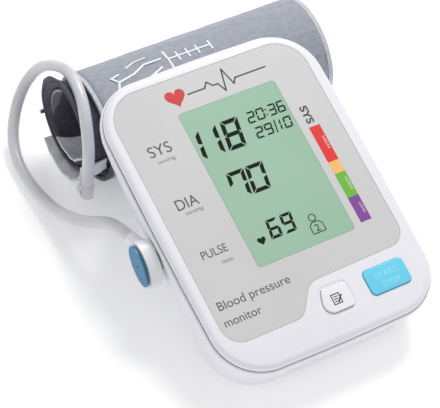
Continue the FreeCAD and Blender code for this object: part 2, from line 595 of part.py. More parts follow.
# the inner turns are one roll, pushed out to the left and lying a little high inside the outer turn
INNER_LEFT = LEFT - 12.5
INNER = FreeCAD.Placement(CUFF_AXIS + vec(0, 0, 2.4), FreeCAD.Rotation())
feature("cuff_inner_cover", sleeve(23.3, 25.0, INNER_LEFT, RIGHT - 14), INNER)
feature("air_bladder", sleeve(22.0, 23.2, INNER_LEFT + 3, RIGHT - 18, 10, 320), INNER)
feature("cuff_lining", sleeve(20.9, 21.9, INNER_LEFT + 1, RIGHT - 15), INNER)
feature("cuff_end_flap", sleeve(25.05, 26.3, INNER_LEFT - 6, LEFT - 1.0, 85, 115), INNER)
# the tube's nipple stands on the flap: a round base and a stub that points up to the tube
stub_y = 72.6 - CUFF_Y
stub = Part.makeCylinder(3.6, 9, vec(-66.2, stub_y, 25.0 - CUFF_R - 9), Z_AXIS)
base = Part.makeCylinder(4.5, 3.9, vec(-66.2, stub_y + 4.0, -11.0), vec(0, -1, 0))
feature("tube_nipple", stub.fuse(base).removeSplitter(), CUFF)
# the wire bar that the cuff's end is looped through lies along the roll, between the turns
bar = Part.makeCylinder(size("bar_radius"), size("bar_length"), vec(INNER_LEFT - 2, BAR_Y, BAR_Z), X_AXIS)
feature("cuff_bar", bar, CUFF)

# ---------------------------------------------------------------- finish
doc.recompute()
os.makedirs("parts", exist_ok=True)
bad = [obj.Name for obj in doc.Objects if "Invalid" in obj.State or "Error" in obj.State]
bad += [obj.Label for obj in FINISHED if obj.Shape.isNull() or not obj.Shape.isValid()]
if bad:
    print("NOT GOOD:", bad)
span = None
for obj in FINISHED:
    obj.Shape.exportStep("parts/%s.step" % obj.Label)
    if obj.Label not in ("air_tube", "air_plug", "plug_cap", "plug_ring", "tube_nipple"):
        span = obj.Shape.BoundBox if span is None else span.united(obj.Shape.BoundBox)
    print("%-20s %9.0f mm3 %2d solids  x %.1f..%.1f y %.1f..%.1f z %.1f..%.1f" % (
        obj.Label, obj.Shape.Volume, len(obj.Shape.Solids), obj.Shape.BoundBox.XMin, obj.Shape.BoundBox.XMax,
        obj.Shape.BoundBox.YMin, obj.Shape.BoundBox.YMax, obj.Shape.BoundBox.ZMin, obj.Shape.BoundBox.ZMax))
print("box", span, "parts", len(FINISHED))
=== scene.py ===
import math

import bmesh
import bpy
from mathutils import Matrix, Vector, noise


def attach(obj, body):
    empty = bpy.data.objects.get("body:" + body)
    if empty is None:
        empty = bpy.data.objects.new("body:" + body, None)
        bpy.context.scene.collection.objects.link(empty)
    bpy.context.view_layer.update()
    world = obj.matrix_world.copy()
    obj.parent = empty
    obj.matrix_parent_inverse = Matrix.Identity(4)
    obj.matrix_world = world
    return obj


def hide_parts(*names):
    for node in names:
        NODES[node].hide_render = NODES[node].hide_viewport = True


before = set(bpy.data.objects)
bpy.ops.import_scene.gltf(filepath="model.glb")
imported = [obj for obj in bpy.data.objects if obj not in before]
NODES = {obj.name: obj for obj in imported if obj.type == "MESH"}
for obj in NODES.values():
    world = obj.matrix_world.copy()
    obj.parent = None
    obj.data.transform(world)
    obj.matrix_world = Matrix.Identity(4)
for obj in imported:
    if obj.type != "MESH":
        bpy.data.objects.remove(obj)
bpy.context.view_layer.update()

# ---------------------------------------------------------------- camera, floor and lights
# The monitor leans back on its own rolled cuff: LEAN carries its frame, in millimetres from the middle
# of the seam, to the table. A long lens looks down at the display from the left front, a little turned.
MM = 0.001
TILT = math.radians(18.6)
SEAM = Vector((-10.0, -26.8, 52.773)) * MM
LEAN = Matrix.Translation(SEAM) @ Matrix.Rotation(TILT, 4, "X") @ Matrix.Scale(MM, 4)
VIEW_AZ = math.radians(-54.97)
VIEW_EL = math.radians(61.43)
VIEW_ROLL = math.radians(30)
VIEW_FAR = 1075.2
flat = math.cos(VIEW_EL)
away = Vector((math.sin(VIEW_AZ) * flat, -math.cos(VIEW_AZ) * flat, math.sin(VIEW_EL)))
level = Vector((math.cos(VIEW_AZ), math.sin(VIEW_AZ), 0))
upward = away.cross(level)
right = math.cos(VIEW_ROLL) * level + math.sin(VIEW_ROLL) * upward
up = -math.sin(VIEW_ROLL) * level + math.cos(VIEW_ROLL) * upward
turn = Matrix.Rotation(TILT, 3, "X") @ Matrix((right, up, away)).transposed()
eye = LEAN @ (away * VIEW_FAR)
lens = bpy.data.cameras.new("camera")
lens.lens = 169.8
lens.sensor_width = 36
lens.shift_x = -0.1067
lens.shift_y = -0.0115
lens.clip_start = 0.01
lens.clip_end = 20
camera = bpy.data.objects.new("camera", lens)
camera.matrix_world = Matrix.Translation(eye) @ turn.to_4x4()
bpy.context.scene.collection.objects.link(camera)
bpy.context.scene.camera = camera

world = bpy.data.worlds.new("studio")
world.use_nodes = True
world.node_tree.nodes["Background"].inputs["Color"].default_value = (1, 1, 1, 1)
world.node_tree.nodes["Background"].inputs["Strength"].default_value = 0.55
bpy.context.scene.world = world
bpy.context.scene.view_settings.view_transform = "Standard"


def start(name, **sockets):
    """A new material with its shader; sockets are values set on the shader itself."""
    made = bpy.data.materials.new(name)
    made.use_nodes = True
    shader = made.node_tree.nodes["Principled BSDF"]
    for key, value in sockets.items():
        shader.inputs[key.replace("_", " ")].default_value = value
    return made, made.node_tree, shader


paper, _, _ = start("white_paper_sweep", Base_Color=(1, 1, 1, 1), Roughness=0.9, Specular_IOR_Level=0.1,
                    Emission_Color=(1, 1, 1, 1), Emission_Strength=0.2)
bm = bmesh.new()
bmesh.ops.create_grid(bm, x_segments=2, y_segments=2, size=3.0)
floor_mesh = bpy.data.meshes.new("floor")
bm.to_mesh(floor_mesh)
bm.free()
floor_mesh.materials.append(paper)
floor = bpy.data.objects.new("floor", floor_mesh)
floor.location.z = -0.0002
bpy.context.scene.collection.objects.link(floor)

for name, spot, wide, watts in (
    ("key_light", (0.75, 0.75, 1.5), 0.8, 20.6),
    ("fill_light", (-1.3, -0.6, 1.4), 1.4, 2.4),
):
    lamp = bpy.data.lights.new(name, "AREA")
    lamp.size = wide
    lamp.energy = watts
    holder = bpy.data.objects.new(name, lamp)
    aim = Vector(spot).to_track_quat("Z", "Y").to_matrix().to_4x4()
    holder.matrix_world = Matrix.Translation(spot) @ aim
    bpy.context.scene.collection.objects.link(holder)

# ---------------------------------------------------------------- air tube
# Soft extruded PVC hose, 6.6 mm across, in one loop from the plug to the nipple on the cuff.
# The points are the corners of its route, in millimetres on the table.
TUBE_ROUTE = [
    (-70.5, 16.9, 41.5), (-72.6, 30.7, 40.1), (-77.0, 46.0, 26.5), (-82.1, 60.6, 17.0), (-84.5, 80.0, 8.5),
    (-85.5, 101.2, 4.6), (-84.6, 119.4, 4.4), (-80.5, 134.5, 8.5), (-73.0, 146.0, 17.5), (-64.5, 151.0, 30.0),
    (-57.5, 147.0, 43.5), (-54.6, 134.0, 55.0), (-54.4, 118.0, 64.5), (-56.8, 100.0, 65.2), (-60.8, 85.2, 58.4),
    (-64.4, 75.0, 46.5), (-66.2, 72.6, 35.0), (-66.2, 72.6, 25.05)]
TUBE_SHIFT = Vector((-10.0, -26.8, 0))
line = bpy.data.curves.new("air_hose", "CURVE")
line.dimensions = "3D"
spline = line.splines.new("NURBS")
spline.points.add(len(TUBE_ROUTE) - 1)
for point, spot in zip(spline.points, TUBE_ROUTE):
    point.co = [*((Vector(spot) + TUBE_SHIFT) * MM), 1.0]
spline.order_u = 3
spline.use_endpoint_u = True
spline.resolution_u = 10
line.bevel_depth = 3.3 * MM
line.bevel_resolution = 6
line.use_fill_caps = True
hose = bpy.data.objects.new("air_hose", line)
bpy.context.scene.collection.objects.link(hose)


def linear(code):
    """A hex colour as linear red, green, blue and 1."""
    parts = [int(code[i:i + 2], 16) / 255 for i in (0, 2, 4)]
    return [c / 12.92 if c <= 0.04045 else ((c + 0.055) / 1.055) ** 2.4 for c in parts] + [1.0]


def add(tree, kind, settings=None, **links):
    """One node with its settings, and links from other nodes' outputs into its inputs."""
    made = tree.nodes.new("ShaderNode" + kind)
    for name, value in (settings or {}).items():
        if isinstance(name, int) or name in made.inputs:
            made.inputs[name].default_value = value
        else:
            setattr(made, name, value)
    for name, source in links.items():
        name = name.replace("_", " ")
        key = int(name[3:]) if name.startswith("in ") else name
        tree.links.new(source, made.inputs[key])
    return made


def dress(node, mat):
    """Puts a material on a CAD node."""
    mesh = NODES[node].data
    mesh.materials.clear()
    mesh.materials.append(mat)


# extruded PVC: smooth, a little waxy, light passes a short way into it
pvc, tree, shader = start("extruded_soft_pvc", Base_Color=linear("cfd0d6"), Roughness=0.32, IOR=1.53,
                          Subsurface_Weight=0.25, Subsurface_Scale=0.002, Coat_Weight=0.15, Coat_Roughness=0.2)
where = add(tree, "TexCoord")
flow = add(tree, "TexNoise", {"Scale": 900.0, "Detail": 3.0}, Vector=where.outputs["Object"])
cloud = add(tree, "TexNoise", {"Scale": 45.0, "Detail": 2.0}, Vector=where.outputs["Object"])
tone = add(tree, "ValToRGB", None, Fac=cloud.outputs["Fac"])
tone.color_ramp.elements[0].color = linear("c6c7ce")
tone.color_ramp.elements[1].color = linear("dadbe0")
tree.links.new(tone.outputs["Color"], shader.inputs["Base Color"])
ripple = add(tree, "Bump", {"Strength": 0.08, "Distance": 0.0002}, Height=flow.outputs["Fac"])
tree.links.new(ripple.outputs["Normal"], shader.inputs["Normal"])
line.materials.append(pvc)
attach(hose, "cuff")
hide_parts("air_tube")
dress("tube_nipple", pvc)

# ---------------------------------------------------------------- housing
# Two moulded ABS halves, screwed together from below. The tool was spark eroded very finely, which
# leaves a satin skin; its shine varies a little from patch to patch.
def settle(name, mesh, mat, body):
    """Makes an object of a mesh that rides on a body."""
    made = bpy.data.objects.new(name, mesh)
    bpy.context.scene.collection.objects.link(made)
    mesh.materials.append(mat)
    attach(made, body)
    return made


def place(bm, name, matrix, mat, body, sharp=40):
    """Turns a bmesh into a piece in its place."""
    mesh = bpy.data.meshes.new(name)
    bmesh.ops.remove_doubles(bm, verts=bm.verts, dist=0.0005)
    bmesh.ops.recalc_face_normals(bm, faces=bm.faces)
    bm.transform(matrix)
    bm.to_mesh(mesh)
    bm.free()
    mesh.shade_smooth()
    mesh.set_sharp_from_angle(angle=math.radians(sharp))
    return settle(name, mesh, mat, body)


def refine(node, name, mat, body, bevel, sharp=32):
    """A merged, smooth shaded copy of a CAD node with its edges broken, which stands for it."""
    bm = bmesh.new()
    bm.from_mesh(NODES[node].data)
    bmesh.ops.remove_doubles(bm, verts=bm.verts, dist=1e-6)
    bmesh.ops.dissolve_limit(bm, angle_limit=math.radians(0.5), verts=bm.verts, edges=bm.edges)
    mesh = bpy.data.meshes.new(name)
    bm.to_mesh(mesh)
    bm.free()
    mesh.shade_smooth()
    mesh.set_sharp_from_angle(angle=math.radians(sharp))
    made = settle(name, mesh, mat, body)
    edge = made.modifiers.new("broken_edges", "BEVEL")
    edge.width = bevel * MM
    edge.segments = 2
    edge.limit_method = "ANGLE"
    edge.angle_limit = math.radians(sharp)
    edge.harden_normals = True
    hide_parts(node)
    return made


def moulded(name, code, rough, grain=0.00002, warm="", coat=0.0):
    """Moulded plastic: satin, with a fine even grain, faint flow marks and a slight change of tone."""
    made, tree, shader = start(name, Base_Color=linear(code), Roughness=rough, IOR=1.53,
                               Coat_Weight=coat, Coat_Roughness=0.12)
    where = add(tree, "TexCoord")
    spark = add(tree, "TexNoise", {"Scale": 2500.0, "Detail": 3.0, "Roughness": 0.6},
                Vector=where.outputs["Object"])
    flow = add(tree, "TexNoise", {"Scale": 14.0, "Detail": 3.0}, Vector=where.outputs["Object"])
    tone = add(tree, "ValToRGB", None, Fac=flow.outputs["Fac"])
    tone.color_ramp.elements[0].color = linear(warm or code)
    tone.color_ramp.elements[1].color = linear(code)
    tone.color_ramp.elements[0].position = 0.25
    tone.color_ramp.elements[1].position = 0.6
    tree.links.new(tone.outputs["Color"], shader.inputs["Base Color"])
    wear = add(tree, "MapRange", {"To Min": rough - 0.05, "To Max": rough + 0.08}, Value=flow.outputs["Fac"])
    tree.links.new(wear.outputs["Result"], shader.inputs["Roughness"])
    skin = add(tree, "Bump", {"Strength": 0.25, "Distance": grain}, Height=spark.outputs["Fac"])
    tree.links.new(skin.outputs["Normal"], shader.inputs["Normal"])
    return made


shell_white = moulded("moulded_white_abs", "eeeef4", 0.36, warm="e9e9f0", coat=0.1)
refine("top_housing", "top_shell", shell_white, "monitor", bevel=0.25)
refine("bottom_housing", "base_shell", shell_white, "monitor", bevel=0.25)
refine("battery_cover", "battery_door", shell_white, "cover", bevel=0.3)
# a dark band is painted into the gap between the halves as shade, which reads as one fine dark line all round
bm = bmesh.new()
bm.from_mesh(NODES["top_housing"].data)
bm.transform(LEAN.inverted())
SHADE_TOP = 0.62
SHADE_TALL = 0.6
bmesh.ops.bisect_plane(bm, geom=[*bm.verts, *bm.edges, *bm.faces], plane_co=(0, 0, SHADE_TOP),
                       plane_no=(0, 0, 1), clear_inner=True, clear_outer=True)
bmesh.ops.remove_doubles(bm, verts=bm.verts, dist=0.001)
bmesh.ops.scale(bm, vec=(1.0012, 1.0008, 1), verts=bm.verts)
lower = bmesh.ops.extrude_edge_only(bm, edges=list(bm.edges))["geom"]
bmesh.ops.translate(bm, vec=(0, 0, -SHADE_TALL), verts=[g for g in lower if isinstance(g, bmesh.types.BMVert)])
seam_shade = moulded("shaded_seam_gap", "3c3c40", 0.8)
place(bm, "seam_gap", LEAN, seam_shade, "monitor")

# ---------------------------------------------------------------- printed panel
# A polycarbonate film, printed light grey on its back, laid in a shallow recess of the top shell.
film = moulded("printed_polycarbonate_film", "d2d2d2", 0.3, grain=0.000008, warm="cecece", coat=0.25)
refine("front_panel", "panel_film", film, "monitor", bevel=0.12)

PANEL_TOP = 3.63


def ink(name, code, rough=0.45):
    """Screen printed ink: matt, with pinholes that only show as a faint mottle."""
    made, tree, shader = start(name, Base_Color=linear(code), Roughness=rough, IOR=1.5)
    where = add(tree, "TexCoord")
    dots = add(tree, "TexNoise", {"Scale": 1800.0, "Detail": 2.0}, Vector=where.outputs["Object"])
    lift = add(tree, "Bump", {"Strength": 0.2, "Distance": 0.00001}, Height=dots.outputs["Fac"])
    tree.links.new(lift.outputs["Normal"], shader.inputs["Normal"])
    return made


def flat_piece(bm, name, mat, z, body="monitor"):
    """A thin print on the display side, raised a hair over what it is printed on."""
    mesh = bpy.data.meshes.new(name)
    bm.transform(LEAN @ Matrix.Translation((0, 0, z)))
    bm.to_mesh(mesh)
    bm.free()
    return settle(name, mesh, mat, body)


def write(bm, words, left, base, width, tall=None, turned=0.0, weight=0.0):
    """Sets a word into bm: it starts at left on the line base and is as wide and tall as given."""
    curve = bpy.data.curves.new("word", "FONT")
    curve.body = words
    curve.size = 10
    curve.offset = weight
    holder = bpy.data.objects.new("word", curve)
    mesh = bpy.data.meshes.new_from_object(holder)
    low = Vector([min(v.co[i] for v in mesh.vertices) for i in range(3)])
    high = Vector([max(v.co[i] for v in mesh.vertices) for i in range(3)])
    wide = width / (high.x - low.x)
    high_scale = tall / (high.y - low.y) if tall else wide
    mesh.transform(Matrix.Translation((left, base, 0)) @ Matrix.Rotation(math.radians(turned), 4, "Z")
                   @ Matrix.Diagonal((wide, high_scale, 1, 1)) @ Matrix.Translation((-low.x, -low.y, 0)))
    bm.from_mesh(mesh)
    bpy.data.objects.remove(holder)
    bpy.data.curves.remove(curve)
    bpy.data.meshes.remove(mesh)


def patch(bm, corners):
    """One flat polygon."""
    bm.faces.new([bm.verts.new((x, y, 0)) for x, y in corners])


def stroke(bm, points, wide, tip):
    """A line through the points, each stretch a flat bar that runs on by tip at both ends."""
    for (x0, y0), (x1, y1) in zip(points, points[1:]):
        side = Vector((y0 - y1, x1 - x0)).normalized() * wide / 2
        on = Vector((x1 - x0, y1 - y0)).normalized() * tip
        patch(bm, [(x0 - on.x - side.x, y0 - on.y - side.y), (x1 + on.x - side.x, y1 + on.y - side.y),
                   (x1 + on.x + side.x, y1 + on.y + side.y), (x0 - on.x + side.x, y0 - on.y + side.y)])


def heart(bm, x, y, wide, tall, corners):
    """A plain heart about x and y."""
    for v in bmesh.ops.create_circle(bm, cap_ends=True, segments=corners, radius=1.0)["verts"]:
        by = math.atan2(v.co.x, v.co.y)
        v.co.x = x + wide * 16 * math.sin(by) ** 3
        v.co.y = y + tall * (13 * math.cos(by) - 5 * math.cos(2 * by) - 2 * math.cos(3 * by) - math.cos(4 * by))


dark_ink = ink("screen_printed_dark_grey_ink", "363638")
label_ink = ink("screen_printed_grey_ink", "4c4c50")
bm = bmesh.new()
write(bm, "SYS", -48.2, 41.6, 13.0, 6.2)
write(bm, "DIA", -48.2, 9.8, 12.6, 6.0)
write(bm, "PULSE", -48.6, -19.2, 14.8, 4.6)
write(bm, "Blood pressure", -53.6, -48.6, 41.8)
write(bm, "monitor", -54.6, -56.2, 21.4)
flat_piece(bm, "panel_labels", label_ink, PANEL_TOP)
pale_ink = ink("screen_printed_mid_grey_ink", "6c6c70")
bm = bmesh.new()
write(bm, "mmHg", -45.9, 36.6, 10.0, 2.6)
write(bm, "mmHg", -45.2, 5.6, 10.0, 2.6)
write(bm, "/min", -40.4, -24.8, 6.6, 2.4)
flat_piece(bm, "panel_units", pale_ink, PANEL_TOP)

# a plain heart with a pulse line stands in the head of the panel
red_ink = ink("screen_printed_red_ink", "d0282e")
bm = bmesh.new()
heart(bm, -20.0, 68.6, 0.36, 0.36, 48)
flat_piece(bm, "panel_heart", red_ink, PANEL_TOP)
bm = bmesh.new()
stroke(bm, [(-13, 68), (-3, 68), (-0.5, 71), (2, 68), (5, 68), (7.5, 62.8), (10.5, 75.2), (13.5, 65),
            (15.5, 68), (34, 68)], 0.84, 0.3)
flat_piece(bm, "panel_pulse_line", dark_ink, PANEL_TOP)

# the scale beside the display: four printed fields from high to low
for name, code, low, high in (("red", "e41a16", 5.1, 27.0), ("amber", "f5be60", -2.1, 5.1),
                              ("green", "68b829", -16.8, -2.1), ("violet", "7e3c98", -31.8, -16.8)):
    bm = bmesh.new()
    patch(bm, [(39.2, low), (45.7, low), (45.7, high), (39.2, high)])
    flat_piece(bm, "scale_" + name, ink("screen_printed_%s_ink" % name, code), PANEL_TOP)
bm = bmesh.new()
write(bm, "HIGH", 43.3, 20.0, 7.4, 1.6, turned=-90)
write(bm, "OK", 43.3, 3.6, 3.6, 1.6, turned=-90)
write(bm, "LOW", 43.3, -21.4, 6.0, 1.6, turned=-90)
write(bm, "NORM", 43.3, -5.6, 7.4, 1.6, turned=-90)
flat_piece(bm, "scale_words", ink("screen_printed_white_ink", "e8dcdc"), PANEL_TOP + 0.04)
bm = bmesh.new()
write(bm, "SYS", 39.6, 39.6, 10.6, 4.6, turned=-90, weight=0.3)
flat_piece(bm, "scale_title", dark_ink, PANEL_TOP)

# ---------------------------------------------------------------- display
# A reflective liquid crystal cell bonded to a clear window. No depth shows between the two, so the
# window's face is given the cell's grey green, and the black segments are laid on it.
cell, tree, shader = start("lcd_reflector", Base_Color=linear("a3cbb0"), Roughness=0.4, IOR=1.5)
where = add(tree, "TexCoord")
mapped = add(tree, "Mapping", {"Rotation": (0, 0, -0.5)}, Vector=where.outputs["Object"])
mapped.inputs["Scale"].default_value = (6.0, 9.0, 6.0)
sweep = add(tree, "TexGradient", None, Vector=mapped.outputs["Vector"])
cloud = add(tree, "TexNoise", {"Scale": 12.0, "Detail": 1.0}, Vector=where.outputs["Object"])
level_mix = add(tree, "Math", {"operation": "MULTIPLY_ADD"}, in_0=cloud.outputs["Fac"])
level_mix.inputs[1].default_value = 0.9
tree.links.new(sweep.outputs["Fac"], level_mix.inputs[2])
tone = add(tree, "ValToRGB", None, Fac=level_mix.outputs["Value"])
tone.color_ramp.elements[0].color = linear("a4c4ae")
tone.color_ramp.elements[1].color = linear("8ebc9c")
tree.links.new(tone.outputs["Color"], shader.inputs["Base Color"])
grit = add(tree, "TexNoise", {"Scale": 3000.0}, Vector=where.outputs["Object"])
rough_glass = add(tree, "Bump", {"Strength": 0.1, "Distance": 0.00001}, Height=grit.outputs["Fac"])
tree.links.new(rough_glass.outputs["Normal"], shader.inputs["Normal"])
dress("lcd_glass", cell)
# the window's polish lies over the cell's colour
shader.inputs["Coat Weight"].default_value = 0.3
shader.inputs["Coat Roughness"].default_value = 0.08
refine("display_window", "display_face", cell, "monitor", bevel=0.15)

SEGMENTS = {"0": "abcdef", "1": "bc", "2": "abged", "3": "abgcd", "6": "afgedc", "7": "abcf", "8": "abcdefg",
            "9": "abcdfg"}


def digit(bm, figure, left, base, wide, tall, thick, lean):
    """One figure of seven bars with mitred ends, leaning to the right."""
    gap = thick * 0.12
    half = tall / 2
    bars = {}
    for key, level_y, way in (("a", tall, -1), ("g", half, 0), ("d", 0, 1)):
        low = level_y if way == 1 else level_y - thick if way == -1 else level_y - thick / 2
        top = low + thick
        if way == 0:
            bars[key] = [(gap + thick * .2, half), (thick * .7 + gap, top), (wide - thick * .7 - gap, top),
                         (wide - gap - thick * .2, half), (wide - thick * .7 - gap, low),
                         (thick * .7 + gap, low)]
        elif way == -1:
            bars[key] = [(thick + gap, low), (gap + thick * .1, top),
                         (wide - gap - thick * .1, top), (wide - thick - gap, low)]
        else:
            bars[key] = [(gap + thick * .1, low), (thick + gap, top),
                         (wide - thick - gap, top), (wide - gap - thick * .1, low)]
    for key, x0, x1, low, high in (("f", 0, thick, half + gap, tall - gap),
                                   ("b", wide, wide - thick, half + gap, tall - gap),
                                   ("e", 0, thick, gap, half - gap),
                                   ("c", wide, wide - thick, gap, half - gap)):
        upper = key in "fb"
        outer_low, inner_low = (low, low + thick * .45) if upper else (low, low + thick)
        outer_high, inner_high = (high, high - thick) if upper else (high, high - thick * .45)
        bars[key] = [(x0, outer_low), (x1, inner_low), (x1, inner_high), (x0, outer_high)]
    for key in SEGMENTS[figure]:
        patch(bm, [(left + x + lean * y, base + y) for x, y in bars[key]])


crystal = ink("dark_liquid_crystal", "0b1711", rough=0.6)
crystal.node_tree.nodes["Principled BSDF"].inputs["Specular IOR Level"].default_value = 0.15
bm = bmesh.new()
for figure, left, base, wide, tall, thick, lean in (
    ("1", -27.2, 31.8, 8.0, 17.0, 2.4, 0.13), ("1", -16.6, 31.8, 8.0, 17.0, 2.4, 0.1),
    ("8", -6.6, 31.8, 10.4, 17.0, 2.4, 0.15), ("7", -17.0, 5.4, 10.2, 15.6, 2.2, 0.15),
    ("0", -5.8, 5.4, 10.4, 15.6, 2.2, 0.15), ("6", -9.2, -21.0, 6.8, 10.8, 1.6, 0.13),
    ("9", -0.8, -21.0, 6.8, 10.8, 1.6, 0.13), ("2", 10.8, 42.0, 4.7, 6.7, 0.95, 0.12),
    ("0", 16.4, 42.0, 4.7, 6.7, 0.95, 0.12), ("3", 23.6, 42.0, 4.6, 6.7, 0.95, 0.12),
    ("6", 29.0, 42.0, 4.6, 6.7, 0.95, 0.12), ("2", 11.0, 32.6, 4.7, 6.6, 0.95, 0.12),
    ("9", 16.6, 32.6, 4.7, 6.6, 0.95, 0.12), ("1", 22.6, 32.6, 4.0, 6.6, 0.95, 0.12),
    ("0", 28.2, 32.6, 4.6, 6.6, 0.95, 0.12),
):
    digit(bm, figure, left, base, wide, tall, thick, lean)
patch(bm, [(22.1, 43.3), (22.9, 43.3), (23.0, 44.2), (22.2, 44.2)])
patch(bm, [(22.4, 46.1), (23.2, 46.1), (23.3, 47.0), (22.5, 47.0)])
patch(bm, [(22.6, 32.2), (23.3, 32.2), (24.6, 39.6), (23.9, 39.6)])
heart(bm, -14.4, -19.4, 0.15, 0.16, 32)
bmesh.ops.translate(bm, vec=(-0.8, -1.5, 0), verts=bm.verts)
flat_piece(bm, "display_figures", crystal, PANEL_TOP)
bm = bmesh.new()
stroke(bm, [(12.8, -27.2), (20.2, -27.2), (20.2, -22.8), (18.4, -21.0), (14.6, -21.0), (12.8, -22.8),
            (12.8, -27.2)], 0.48, 0)
for radius in (2.2, 1.7):
    bmesh.ops.create_circle(bm, segments=24, radius=radius, matrix=Matrix.Translation((16.2, -18.4, 0)))
bmesh.ops.bridge_loops(bm, edges=[e for e in bm.edges if e.is_wire])
write(bm, "2", 15.1, -26.4, 2.5, 3.9)
bmesh.ops.translate(bm, vec=(-0.5, -1.0, 0), verts=bm.verts)
flat_piece(bm, "display_person", crystal, PANEL_TOP)

# ---------------------------------------------------------------- keys
# The START/STOP key is cyan ABS, the memory key white; both are printed and stand 0.9 mm proud.
cyan = moulded("moulded_cyan_abs", "69d6f4", 0.32, warm="63d0f0", coat=0.2)
refine("start_stop_button", "start_key_cap", cyan, "start_key", bevel=0.3)
key_white = moulded("moulded_white_key", "f3f3f6", 0.34, coat=0.15)
refine("memory_button", "memory_key_cap", key_white, "memory_key", bevel=0.3)
KEY_TOP = 4.64
bm = bmesh.new()
write(bm, "START", 30.6, -63.1, 13.6, 2.9)
write(bm, "STOP", 32.2, -68.4, 11.0, 2.9)
flat_piece(bm, "start_key_words", ink("pad_printed_pale_ink", "9fe7fa"), KEY_TOP, "start_key")
bm = bmesh.new()
stroke(bm, [(3.4, -67.2), (8.0, -67.2), (8.0, -61.8), (3.4, -61.8), (3.4, -67.2)], 0.55, 0.275)
for end, line_y in ((7.0, -63.2), (6.4, -64.5), (5.6, -65.8)):
    stroke(bm, [(4.4, line_y), (end, line_y)], 0.5, 0.25)
stroke(bm, [(6.2, -66.3), (8.8, -63.4)], 0.9, 0.45)
flat_piece(bm, "memory_key_mark", dark_ink, KEY_TOP, "memory_key")

# ---------------------------------------------------------------- air plug
# A moulded grip with an inlaid teal cap; the spigot goes into the socket in the left wall.
plug_white = moulded("moulded_plug_abs", "e9ebf0", 0.34, coat=0.1)
refine("air_plug", "plug_grip", plug_white, "cuff", bevel=1.4)
teal = moulded("moulded_teal_abs", "2480ac", 0.38, warm="1f7099", coat=0.0)
bm = bmesh.new()
bmesh.ops.create_circle(bm, cap_ends=True, segments=64, radius=1.0)
bmesh.ops.scale(bm, vec=(11.2, 7.5, 1), verts=bm.verts)
for inset, lift in ((1.2, 0.55), (1.6, 0.35), (2.0, 0.15)):
    widest = max(bm.faces, key=lambda f: f.calc_area())
    bmesh.ops.inset_region(bm, faces=[widest], thickness=inset, depth=lift, use_even_offset=True)
skirt = bmesh.ops.extrude_edge_only(bm, edges=[e for e in bm.edges if e.is_boundary])["geom"]
bmesh.ops.translate(bm, vec=(0, 0, -1.0), verts=[g for g in skirt if isinstance(g, bmesh.types.BMVert)])
FACE = Matrix.Translation((-74.3, -4.4, -13.6)) @ Matrix.Rotation(math.radians(18.65), 4, "X") @ Matrix(
    ((0, 0, -1, 0), (1, 0, 0, 0), (0, -1, 0, 0), (0, 0, 0, 1)))
cap = place(bm, "plug_face", LEAN @ FACE, teal, "cuff", sharp=50)
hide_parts("plug_cap")
# a small dark dome sits at the middle of the cap
bm = bmesh.new()
bmesh.ops.create_uvsphere(bm, u_segments=16, v_segments=10, radius=0.75, matrix=Matrix.Diagonal((1, 1, 0.4, 1)))
pip = ink("dark_dot_on_cap", "27566e")
place(bm, "plug_pip", LEAN @ FACE @ Matrix.Translation((0, 0, 1.05)), pip, "cuff")

# ---------------------------------------------------------------- cuff
# Coated nylon taffeta over a bladder, rolled up. Outside it is cool grey, inside charcoal; the free
# edges are bound with pale woven tape.
CUFF_AXIS = Vector((-10.0, 77.9, 31.0))
ROLL = Matrix.Translation(CUFF_AXIS * MM) @ Matrix.Scale(MM, 4)


def woven(name, warp, weft, rough=0.75, pitch=0.9, sheen=0.35, depth=0.00012):
    """Plain weave with threads drawn at pitch mm, far coarser than real taffeta's 0.2 so that it shows."""
    made, tree, shader = start(name, Roughness=rough, IOR=1.45, Sheen_Weight=sheen, Sheen_Roughness=0.4)
    at = add(tree, "UVMap", {"uv_map": "cloth"})
    threads = []
    for way in "XY":
        threads.append(add(tree, "TexWave", {"Scale": 314.0 / pitch / 10, "wave_type": "BANDS",
                                             "bands_direction": way}, Vector=at.outputs["UV"]))
    cross = add(tree, "Math", {"operation": "MULTIPLY"}, in_0=threads[0].outputs["Fac"],
                in_1=threads[1].outputs["Fac"])
    wear = add(tree, "TexNoise", {"Scale": 30.0, "Detail": 4.0}, Vector=at.outputs["UV"])
    blend = add(tree, "Math", {"operation": "MULTIPLY_ADD", 1: 0.35}, in_0=cross.outputs["Value"],
                in_2=wear.outputs["Fac"])
    tone = add(tree, "ValToRGB", None, Fac=blend.outputs["Value"])
    tone.color_ramp.elements[0].color = linear(warp)
    tone.color_ramp.elements[1].color = linear(weft)
    tone.color_ramp.elements[0].position = 0.3
    tone.color_ramp.elements[1].position = 0.85
    tree.links.new(tone.outputs["Color"], shader.inputs["Base Color"])
    weave = add(tree, "Bump", {"Strength": 0.5, "Distance": depth}, Height=cross.outputs["Value"])
    crease = add(tree, "Bump", {"Strength": 0.5, "Distance": 0.0009}, Height=wear.outputs["Fac"],
                 Normal=weave.outputs["Normal"])
    tree.links.new(crease.outputs["Normal"], shader.inputs["Normal"])
    return made


